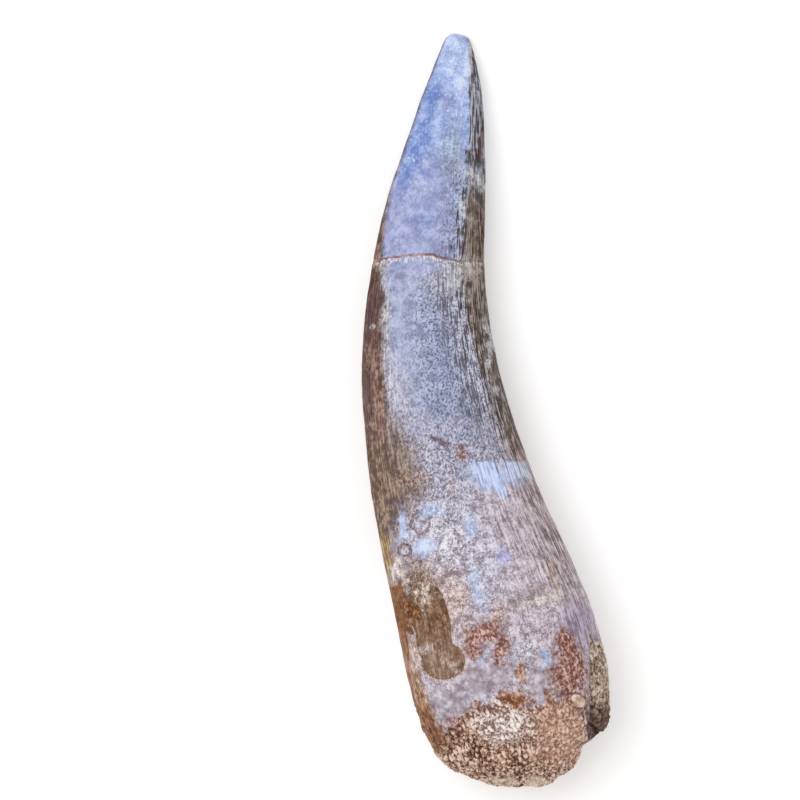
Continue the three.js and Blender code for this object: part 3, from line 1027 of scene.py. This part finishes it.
    def rings(self, colour):
        """The ring scars: a thin dark one, and a ragged one that comes and goes."""
        for oval, width, least in ((SMALL_RING, 0.28, 0.4), (BIG_RING, 0.2, 0.15)):
            wobble = self.mottle - 0.5 + (self.grit - 0.5) * 0.5
            off_rim = self.away((oval,), self.coords) - 1 + wobble
            line = self.fade(off_rim * off_rim, width * width, width * width * 0.2)
            line = line * (least + self.fade(self.curls + self.clouds, 0.85, 1.05) * 0.55)
            colour = self.blend(colour, self.toned(self.specks, "ring"), line)
        return colour

    def break_line(self, colour):
        """The mended break: a red-brown glue line with a cream edge below it."""
        bowed_side = self.across & 0.0
        drop = bowed_side * bowed_side * BREAK_DROP_BOWED
        drop = drop + self.fade(self.across, *BREAK_HOLLOW_FADE) * BREAK_DROP_HOLLOW
        away = (self.along - self.shape.break_distance - drop + (self.grit - 0.5) * (0.5 * MM)) * (1 / MM)
        on_face = self.fade(self.across, 0.6, 0.4)
        line = self.fade(away * away, 0.014, 0.002) * (0.3 + on_face * 0.6)
        line = line * self.fade(self.mottle, 0.3, 0.5)
        lip = self.fade(away, 0.06, 0.16) * self.fade(away, 0.7, 0.2)
        lip = lip * self.fade(self.specks + self.mottle, 0.8, 1.15) * (0.45 + on_face * 0.35)
        colour = self.blend(colour, self.toned(self.specks, "cream"), lip)
        return self.blend(colour, self.toned(self.clouds, "crack"), line)

    def paint(self):
        """Feeds the surface with its colour, roughness and fine bumps."""
        soft = 0.04 + self.fade(self.along, *HOLLOW_BORDER_BLURS) * 0.14
        hollow_flank = self.fade(self.across, self.right - soft, self.right + soft)
        blurred = 0.06 + self.fade(self.along, *BORDER_BLURS) * 0.2
        bowed_flank = self.fade(self.across, self.left + blurred, self.left - blurred)
        under = self.fade(self.up, 0.1, -0.1)
        flanks = hollow_flank | bowed_flank | under
        colour = self.blend(self.face(), self.flank(bowed_flank), flanks)
        off_border = self.right - self.across
        keel = self.fade(off_border, 0.25, 0.1) * self.fade(off_border, -0.06, 0.02)
        keel = keel * self.fade(self.along, *KEEL_CREAM)
        colour = self.blend(colour, self.toned(self.mottle, "cream"), keel * 0.85)
        colour = self.covered(colour, FLANK_LAYERS)

        lower = self.along + (self.clouds - 0.5) * FACE_WANDER + (self.curls - 0.5) * CHALK_WANDER
        chalky = self.fade(lower + self.across * CHALK_LEAN, *CHALK)
        off_strip = 1 - bowed_flank * self.fade(self.along, *CHALK_OFF_STRIP)
        chalky = chalky * off_strip * (1 - under * 0.5)
        colour = self.blend(colour, self.chalk(), chalky)
        colour = self.covered(colour, SPOT_LAYERS)
        colour = self.sky(colour)
        colour = self.covered(colour, ROOT_LAYERS)
        colour = self.scar(colour)
        colour = self.covered(colour, RIM_LAYERS)

        end = self.fade(self.along + (self.grit - 0.5) * (2 * MM), *SAND_END)
        sandy = self.inside(SAND, 0.12) | end | under * self.fade(self.along, *SAND_BELOW)
        sand = self.covered(self.toned(self.grains, "sand", 0.11), END_LAYERS)
        colour = self.covered(self.blend(colour, sand, sandy), FRINGE_LAYERS)
        ragged_x = self.x + (self.grit - 0.5) * (0.3 * MM) + (self.clouds - 0.5) * under * (4 * MM)
        ragged_y = self.y + (self.grit - 0.5) * (0.6 * MM) + (self.clouds - 0.5) * (4 * MM)
        ledge = self.fade(ragged_x, WALL_X - 0.05 * MM, WALL_X + 0.1 * MM)
        ledge = ledge * self.fade(ragged_y, LEDGE_TOP + 0.4 * MM, LEDGE_TOP)
        colour = self.blend(colour, self.ledge(), ledge)
        chip = self.fade(self.away((CHIP,), self.coords) + (self.grit - 0.5) * 0.5, 1.1, 0.9)
        colour = self.blend(colour, self.toned(self.mottle, "chip"), chip)
        colour = self.rings(colour)
        colour = self.break_line(colour)

        self.feed(self.surface.inputs["Base Color"], colour)
        rough = ENAMEL_ROUGHNESS + chalky * CHALK_ROUGHER + flanks * FLANKS_ROUGHER
        loose = sandy | ledge
        self.feed(self.surface.inputs["Roughness"], rough + loose * (SAND_ROUGHNESS - rough))
        height = self.streaks * (flanks * 0.8 + 0.1) + self.specks * 0.3 + self.curls * chalky * 0.7
        height = height + self.grit * loose * 1.5
        bumps = {"Strength": 1.0, "Distance": BUMP_HEIGHT, "Height": height}
        bump = self.node("ShaderNodeBump", {}, bumps)
        self.feed(self.surface.inputs["Normal"], bump)
        self.surface.inputs["Specular IOR Level"].default_value = TOOTH_SPECULAR
        return self.material


def length_property(name, description, millimetres):
    return bpy.props.FloatProperty(
        name=name, description=description, default=millimetres * MM, unit="LENGTH", precision=5
    )


def colour_property(name, description, code):
    return bpy.props.FloatVectorProperty(
        name=name, description=description, default=tint(code)[:3], subtype="COLOR", size=3, min=0, max=1
    )


class ToothShape(bpy.types.PropertyGroup):
    """Sizes of the tooth's form and relief."""

    thickness: bpy.props.FloatProperty(
        name="Thickness",
        description="Thickness of the tooth over its width",
        default=0.82,
        subtype="FACTOR",
    )
    rest_wear: length_property("Rest wear", "How much of the underside is worn flat", 0.25)
    ridges: bpy.props.IntProperty(name="Ridges", description="Fine ridges around the tooth", default=84)
    ridge_height: length_property("Ridge height", "Height of the fine ridges", 0.1)
    break_distance: length_property("Break distance", "From the tip to the mended break", 17.65)
    break_depth: length_property("Break depth", "Depth of the mended break's groove", 0.14)
    flake_depth: length_property("Flake depth", "Depth of the scar of the lost flake", 0.16)
    grain_height: length_property("Grain height", "Height of the broken root's grains", 0.2)
    ledge_depth: length_property("Ledge depth", "Depth of the ledge beside the root's wall", 1.0)
    crevice_depth: length_property("Crevice depth", "Depth of the crevice behind the wall", 1.6)


class ToothColours(bpy.types.PropertyGroup):
    """Dark, middle and light tones of the fossil's finishes."""

    __annotations__ = {
        f"{finish}_{tone}": colour_property(f"{label}, {tone}", f"The finish's {tone} tone", code)
        for finish, (label, *codes) in FINISHES.items()
        for tone, code in zip(TONES, codes)
    }


# The stage's fixed values, in metres
LAMP_SIZE = 0.6
LAMP_PLACE = Vector((-0.3, 0.15, 0.85))
FLOOR_ROUGHNESS = 0.9
FLOOR_SPECULAR = 0.1
CAMERA_CLIP_START = 0.01


class StageSettings(bpy.types.PropertyGroup):
    """The pale stage, its light and its camera."""

    view_width: length_property("View width", "Width of the view at the tooth's outline", 63.8)
    view_x: length_property("View x", "Place that the camera looks down on", -6.8)
    view_y: length_property("View y", "Place that the camera looks down on", 0.8)
    outline_height: length_property("Outline height", "Height of the tooth's outline over the floor", 5.0)
    lens: bpy.props.FloatProperty(name="Lens", description="Focal length", default=1500.0, unit="CAMERA")
    floor_size: length_property("Floor size", "Half the width of the floor", 1500.0)
    floor_colour: colour_property("Floor colour", "Pale floor", "F6F6F6")
    floor_glow: bpy.props.FloatProperty(
        name="Floor glow",
        description="Light that the floor gives off, which keeps shadows pale",
        default=0.28,
        min=0,
    )
    key_power: bpy.props.FloatProperty(
        name="Key power", description="Power of the large light overhead", default=3.2, unit="POWER"
    )
    sky_strength: bpy.props.FloatProperty(
        name="Sky strength", description="Brightness of the even light all around", default=0.68, min=0
    )


class FOSSIL_OT_tooth(bpy.types.Operator):
    """Models the fossil tooth and paints its finish."""

    bl_idname = "fossil.tooth"
    bl_label = "Fossil tooth"

    def execute(self, context):
        shape = context.scene.fossil_shape
        form = ToothForm(shape.thickness, shape.rest_wear)
        mesh = tooth_mesh(form, shape)
        mesh.materials.append(ToothFinish(form, shape, context.scene.fossil_colours).paint())
        piece = bpy.data.objects.new("fossil_tooth", mesh)
        context.scene.collection.objects.link(piece)
        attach(piece, "root")
        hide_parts("tooth")
        return {"FINISHED"}


class FOSSIL_OT_stage(bpy.types.Operator):
    """Sets the pale floor, the soft light and the camera that looks straight down."""

    bl_idname = "fossil.stage"
    bl_label = "Stage"

    def execute(self, context):
        stage = context.scene.fossil_stage
        self.floor(context, stage)
        self.light(context, stage)
        self.camera(context, stage)
        return {"FINISHED"}

    def floor(self, context, stage):
        bm = bmesh.new()
        bmesh.ops.create_grid(bm, x_segments=1, y_segments=1, size=stage.floor_size)
        mesh = bpy.data.meshes.new("pale_floor")
        bm.to_mesh(mesh)
        bm.free()
        finish = Finish("pale_floor")
        finish.surface.inputs["Base Color"].default_value = (*stage.floor_colour, 1.0)
        finish.surface.inputs["Roughness"].default_value = FLOOR_ROUGHNESS
        finish.surface.inputs["Specular IOR Level"].default_value = FLOOR_SPECULAR
        finish.surface.inputs["Emission Color"].default_value = (*stage.floor_colour, 1.0)
        finish.surface.inputs["Emission Strength"].default_value = stage.floor_glow
        mesh.materials.append(finish.material)
        floor = bpy.data.objects.new("pale_floor", mesh)
        context.scene.collection.objects.link(floor)

    def light(self, context, stage):
        world = bpy.data.worlds.new("soft_sky")
        world.use_nodes = True
        sky = world.node_tree.nodes["Background"]
        sky.inputs["Color"].default_value = (1.0, 1.0, 1.0, 1.0)
        sky.inputs["Strength"].default_value = stage.sky_strength
        context.scene.world = world
        lamp = bpy.data.lights.new("overhead", "AREA")
        lamp.energy = stage.key_power
        lamp.size = LAMP_SIZE
        overhead = bpy.data.objects.new("overhead", lamp)
        overhead.location = LAMP_PLACE
        overhead.rotation_euler = (-LAMP_PLACE).to_track_quat("-Z", "Y").to_euler()
        context.scene.collection.objects.link(overhead)
        context.scene.view_settings.view_transform = "Standard"

    def camera(self, context, stage):
        data = bpy.data.cameras.new("from_above")
        data.lens = stage.lens
        data.clip_start = CAMERA_CLIP_START
        camera = bpy.data.objects.new("from_above", data)
        distance = stage.view_width * data.lens / data.sensor_width
        camera.location = (stage.view_x, stage.view_y, stage.outline_height + distance)
        context.scene.collection.objects.link(camera)
        context.scene.camera = camera


class FOSSIL_PT_panel(bpy.types.Panel):
    """Lists the tooth's and the stage's settings."""

    bl_idname = "FOSSIL_PT_panel"
    bl_label = "Fossil tooth"
    bl_space_type = "VIEW_3D"
    bl_region_type = "UI"
    bl_category = "Fossil"

    def draw(self, context):
        scene = context.scene
        for title, group in (("Shape", scene.fossil_shape), ("Stage", scene.fossil_stage)):
            box = self.layout.box()
            box.label(text=title)
            for name in group.__annotations__:
                box.prop(group, name)
        colours = self.layout.box()
        colours.label(text="Colours")
        for finish, (label, *_) in FINISHES.items():
            row = colours.row()
            row.label(text=label)
            for tone in TONES:
                row.prop(scene.fossil_colours, f"{finish}_{tone}", text="")
        self.layout.operator(FOSSIL_OT_tooth.bl_idname)
        self.layout.operator(FOSSIL_OT_stage.bl_idname)


CLASSES = (ToothShape, ToothColours, StageSettings, FOSSIL_OT_tooth, FOSSIL_OT_stage, FOSSIL_PT_panel)


def register():
    for cls in CLASSES:
        bpy.utils.register_class(cls)
    bpy.types.Scene.fossil_shape = bpy.props.PointerProperty(type=ToothShape)
    bpy.types.Scene.fossil_colours = bpy.props.PointerProperty(type=ToothColours)
    bpy.types.Scene.fossil_stage = bpy.props.PointerProperty(type=StageSettings)


def unregister():
    del bpy.types.Scene.fossil_stage
    del bpy.types.Scene.fossil_colours
    del bpy.types.Scene.fossil_shape
    for cls in reversed(CLASSES):
        bpy.utils.unregister_class(cls)


def main():
    register()
    bpy.ops.fossil.tooth()
    bpy.ops.fossil.stage()


if __name__ == "__main__":
    main()
